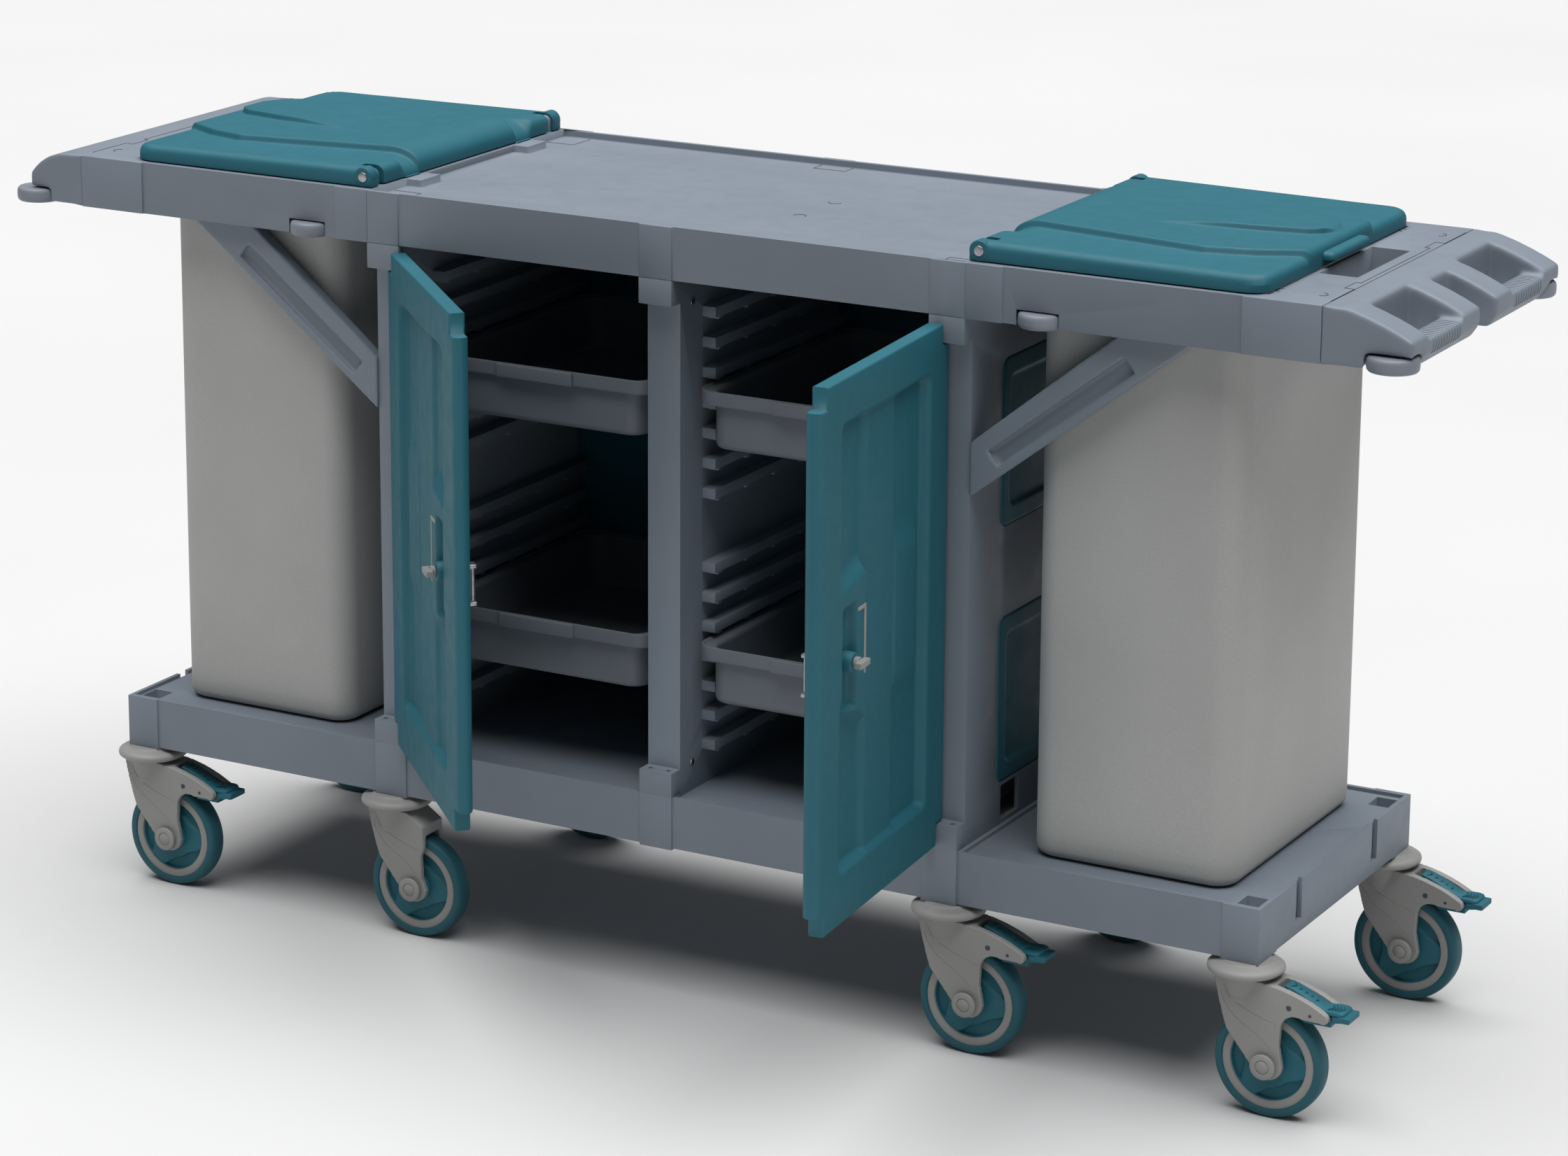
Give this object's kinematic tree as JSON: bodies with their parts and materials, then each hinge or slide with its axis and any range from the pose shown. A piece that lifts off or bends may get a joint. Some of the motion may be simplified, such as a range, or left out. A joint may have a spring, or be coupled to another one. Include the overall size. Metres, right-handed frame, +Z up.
{
  "type": "housekeeping cart",
  "caption": "Hotel housekeeping cart in slate and teal plastic: two-door tray cabinet, a lidded bag frame at each end and swivel casters under a flat base",
  "frame": {"origin": "on the floor under the middle of the cart body", "axes": "+X along the length towards the push handles, +Y to the back, +Z up; the doors face -Y"},
  "size_m": [2.126, 0.9489, 1.1025],
  "materials": {
    "slate_plastic": "fine satin grain",
    "teal_plastic": "satin",
    "light_plastic": "satin",
    "bag_fabric": "coated woven nylon",
    "teal_rubber": "non-marking rubber tread",
    "grey_rubber": "smooth rubber",
    "steel": "zinc plated"
  },
  "bodies": {
    "chassis": {"back_panel_left": "teal_plastic", "back_panel_right": "teal_plastic", "bag_frame_left": "slate_plastic", "bag_frame_right": "slate_plastic", "bag_left": "bag_fabric", "bag_right": "bag_fabric", "base_tray_left": "slate_plastic", "base_tray_middle": "slate_plastic", "base_tray_right": "slate_plastic", "caster_collars": "light_plastic", "counter_top": "slate_plastic", "end_cap": "slate_plastic", "frame_braces": "slate_plastic", "handle_module": "slate_plastic", "middle_panel": "slate_plastic", "panel_inserts": "teal_plastic", "panel_screws": "steel", "pivot_pins": "steel", "side_panel_left": "slate_plastic", "side_panel_right": "slate_plastic"},
    "brake_back_right": {"brake_back_right": "teal_plastic"},
    "brake_front_left": {"brake_front_left": "teal_plastic"},
    "brake_front_middle_right": {"brake_front_middle_right": "teal_plastic"},
    "brake_front_right": {"brake_front_right": "teal_plastic"},
    "door_knob_left": {"door_knob_left": "light_plastic"},
    "door_knob_right": {"door_knob_right": "light_plastic"},
    "fork_back_left": {"fork_back_left": "light_plastic"},
    "fork_back_middle_left": {"fork_back_middle_left": "light_plastic"},
    "fork_back_middle_right": {"fork_back_middle_right": "light_plastic"},
    "fork_back_right": {"fork_back_right": "light_plastic"},
    "fork_front_left": {"fork_front_left": "light_plastic"},
    "fork_front_middle_left": {"fork_front_middle_left": "light_plastic"},
    "fork_front_middle_right": {"fork_front_middle_right": "light_plastic"},
    "fork_front_right": {"fork_front_right": "light_plastic"},
    "lid_left": {"lid_left": "teal_plastic"},
    "lid_right": {"lid_right": "teal_plastic"},
    "roller_back_left_corner": {"roller_back_left_corner": "grey_rubber"},
    "roller_back_left_middle": {"roller_back_left_middle": "grey_rubber"},
    "roller_back_right_corner": {"roller_back_right_corner": "grey_rubber"},
    "roller_back_right_middle": {"roller_back_right_middle": "grey_rubber"},
    "roller_front_left_corner": {"roller_front_left_corner": "grey_rubber"},
    "roller_front_left_middle": {"roller_front_left_middle": "grey_rubber"},
    "roller_front_right_corner": {"roller_front_right_corner": "grey_rubber"},
    "roller_front_right_middle": {"roller_front_right_middle": "grey_rubber"},
    "tray_lower_left": {"tray_lower_left": "slate_plastic"},
    "tray_lower_right": {"tray_lower_right": "slate_plastic"},
    "tray_upper_left": {"tray_upper_left": "slate_plastic"},
    "tray_upper_right": {"tray_upper_right": "slate_plastic"},
    "wheel_back_left": {"wheel_back_left": "teal_rubber"},
    "wheel_back_middle_left": {"wheel_back_middle_left": "teal_rubber"},
    "wheel_back_middle_right": {"wheel_back_middle_right": "teal_rubber"},
    "wheel_back_right": {"wheel_back_right": "teal_rubber"},
    "wheel_front_left": {"wheel_front_left": "teal_rubber"},
    "wheel_front_middle_left": {"wheel_front_middle_left": "teal_rubber"},
    "wheel_front_middle_right": {"wheel_front_middle_right": "teal_rubber"},
    "wheel_front_right": {"wheel_front_right": "teal_rubber"},
    "door_left": {"door_left": "teal_plastic", "door_latch_left": "steel"},
    "door_right": {"door_right": "teal_plastic", "door_latch_right": "steel"}
  },
  "joints": [
    {"name": "door_left_hinge", "type": "hinge", "parent": "chassis", "child": "door_left", "pos_m": [-0.4175, -0.2485, 0.64], "axis": [0, 0, -1], "range_deg": [-45, 51]},
    {"name": "door_left_knob_turn", "type": "hinge", "parent": "door_left", "child": "door_knob_left", "pos_m": [-0.20501, -0.47654, 0.624], "axis": [-0.7071, -0.7071, 0], "range_deg": [0, 90]},
    {"name": "lid_left_hinge", "type": "hinge", "parent": "chassis", "child": "lid_left", "pos_m": [-0.47, 0, 1.0885], "axis": [0, 1, 0], "range_deg": [0, 105]},
    {"name": "tray_upper_left_slide", "type": "slide", "parent": "chassis", "child": "tray_upper_left", "axis": [0, -1, 0], "range_m": [0, 0.05]},
    {"name": "tray_lower_left_slide", "type": "slide", "parent": "chassis", "child": "tray_lower_left", "axis": [0, -1, 0], "range_m": [0, 0.05]},
    {"name": "roller_front_left_corner_turn", "type": "hinge", "parent": "chassis", "child": "roller_front_left_corner", "pos_m": [-1.03, -0.242, 1.009], "axis": [0, 0, 1], "continuous": true},
    {"name": "roller_front_left_middle_turn", "type": "hinge", "parent": "chassis", "child": "roller_front_left_middle", "pos_m": [-0.558, -0.245, 1.009], "axis": [0, 0, 1], "continuous": true},
    {"name": "roller_back_left_corner_turn", "type": "hinge", "parent": "chassis", "child": "roller_back_left_corner", "pos_m": [-1.03, 0.242, 1.009], "axis": [0, 0, 1], "continuous": true},
    {"name": "roller_back_left_middle_turn", "type": "hinge", "parent": "chassis", "child": "roller_back_left_middle", "pos_m": [-0.558, 0.245, 1.009], "axis": [0, 0, 1], "continuous": true},
    {"name": "door_right_hinge", "type": "hinge", "parent": "chassis", "child": "door_right", "pos_m": [0.4175, -0.2485, 0.64], "axis": [0, 0, 1], "range_deg": [-95, 1]},
    {"name": "door_right_knob_turn", "type": "hinge", "parent": "door_right", "child": "door_knob_right", "pos_m": [0.45561, -0.55786, 0.624], "axis": [0.9962, 0.0872, 0], "range_deg": [0, 90]},
    {"name": "lid_right_hinge", "type": "hinge", "parent": "chassis", "child": "lid_right", "pos_m": [0.47, 0, 1.0885], "axis": [0, -1, 0], "range_deg": [0, 105]},
    {"name": "tray_upper_right_slide", "type": "slide", "parent": "chassis", "child": "tray_upper_right", "axis": [0, -1, 0], "range_m": [0, 0.35]},
    {"name": "tray_lower_right_slide", "type": "slide", "parent": "chassis", "child": "tray_lower_right", "axis": [0, -1, 0], "range_m": [0, 0.35]},
    {"name": "roller_front_right_corner_turn", "type": "hinge", "parent": "chassis", "child": "roller_front_right_corner", "pos_m": [1.03, -0.242, 1.009], "axis": [0, 0, 1], "continuous": true},
    {"name": "roller_front_right_middle_turn", "type": "hinge", "parent": "chassis", "child": "roller_front_right_middle", "pos_m": [0.558, -0.245, 1.009], "axis": [0, 0, 1], "continuous": true},
    {"name": "roller_back_right_corner_turn", "type": "hinge", "parent": "chassis", "child": "roller_back_right_corner", "pos_m": [1.03, 0.242, 1.009], "axis": [0, 0, 1], "continuous": true},
    {"name": "roller_back_right_middle_turn", "type": "hinge", "parent": "chassis", "child": "roller_back_right_middle", "pos_m": [0.558, 0.245, 1.009], "axis": [0, 0, 1], "continuous": true},
    {"name": "swivel_front_left", "type": "hinge", "parent": "chassis", "child": "fork_front_left", "pos_m": [-0.8615, -0.237, 0.215], "axis": [0, 0, 1], "continuous": true},
    {"name": "axle_front_left", "type": "hinge", "parent": "fork_front_left", "child": "wheel_front_left", "pos_m": [-0.8225, -0.237, 0.075], "axis": [0, 1, 0], "continuous": true},
    {"name": "brake_front_left_press", "type": "hinge", "parent": "fork_front_left", "child": "brake_front_left", "pos_m": [-0.7915, -0.237, 0.159], "axis": [0, 1, 0], "range_deg": [0, 8]},
    {"name": "swivel_front_middle_left", "type": "hinge", "parent": "chassis", "child": "fork_front_middle_left", "pos_m": [-0.4365, -0.237, 0.215], "axis": [0, 0, 1], "continuous": true},
    {"name": "axle_front_middle_left", "type": "hinge", "parent": "fork_front_middle_left", "child": "wheel_front_middle_left", "pos_m": [-0.3975, -0.237, 0.075], "axis": [0, 1, 0], "continuous": true},
    {"name": "swivel_front_middle_right", "type": "hinge", "parent": "chassis", "child": "fork_front_middle_right", "pos_m": [0.4365, -0.237, 0.215], "axis": [0, 0, 1], "continuous": true},
    {"name": "axle_front_middle_right", "type": "hinge", "parent": "fork_front_middle_right", "child": "wheel_front_middle_right", "pos_m": [0.4755, -0.237, 0.075], "axis": [0, 1, 0], "continuous": true},
    {"name": "brake_front_middle_right_press", "type": "hinge", "parent": "fork_front_middle_right", "child": "brake_front_middle_right", "pos_m": [0.5065, -0.237, 0.159], "axis": [0, 1, 0], "range_deg": [0, 8]},
    {"name": "swivel_front_right", "type": "hinge", "parent": "chassis", "child": "fork_front_right", "pos_m": [0.8615, -0.237, 0.215], "axis": [0, 0, 1], "continuous": true},
    {"name": "axle_front_right", "type": "hinge", "parent": "fork_front_right", "child": "wheel_front_right", "pos_m": [0.9005, -0.237, 0.075], "axis": [0, 1, 0], "continuous": true},
    {"name": "brake_front_right_press", "type": "hinge", "parent": "fork_front_right", "child": "brake_front_right", "pos_m": [0.9315, -0.237, 0.159], "axis": [0, 1, 0], "range_deg": [0, 8]},
    {"name": "swivel_back_left", "type": "hinge", "parent": "chassis", "child": "fork_back_left", "pos_m": [-0.8615, 0.237, 0.215], "axis": [0, 0, 1], "continuous": true},
    {"name": "axle_back_left", "type": "hinge", "parent": "fork_back_left", "child": "wheel_back_left", "pos_m": [-0.8225, 0.237, 0.075], "axis": [0, 1, 0], "continuous": true},
    {"name": "swivel_back_middle_left", "type": "hinge", "parent": "chassis", "child": "fork_back_middle_left", "pos_m": [-0.4365, 0.237, 0.215], "axis": [0, 0, 1], "continuous": true},
    {"name": "axle_back_middle_left", "type": "hinge", "parent": "fork_back_middle_left", "child": "wheel_back_middle_left", "pos_m": [-0.3975, 0.237, 0.075], "axis": [0, 1, 0], "continuous": true},
    {"name": "swivel_back_middle_right", "type": "hinge", "parent": "chassis", "child": "fork_back_middle_right", "pos_m": [0.4365, 0.237, 0.215], "axis": [0, 0, 1], "continuous": true},
    {"name": "axle_back_middle_right", "type": "hinge", "parent": "fork_back_middle_right", "child": "wheel_back_middle_right", "pos_m": [0.4755, 0.237, 0.075], "axis": [0, 1, 0], "continuous": true},
    {"name": "swivel_back_right", "type": "hinge", "parent": "chassis", "child": "fork_back_right", "pos_m": [0.8615, 0.237, 0.215], "axis": [0, 0, 1], "continuous": true},
    {"name": "axle_back_right", "type": "hinge", "parent": "fork_back_right", "child": "wheel_back_right", "pos_m": [0.9005, 0.237, 0.075], "axis": [0, 1, 0], "continuous": true},
    {"name": "brake_back_right_press", "type": "hinge", "parent": "fork_back_right", "child": "brake_back_right", "pos_m": [0.9315, 0.237, 0.159], "axis": [0, 1, 0], "range_deg": [0, 8]}
  ]
}
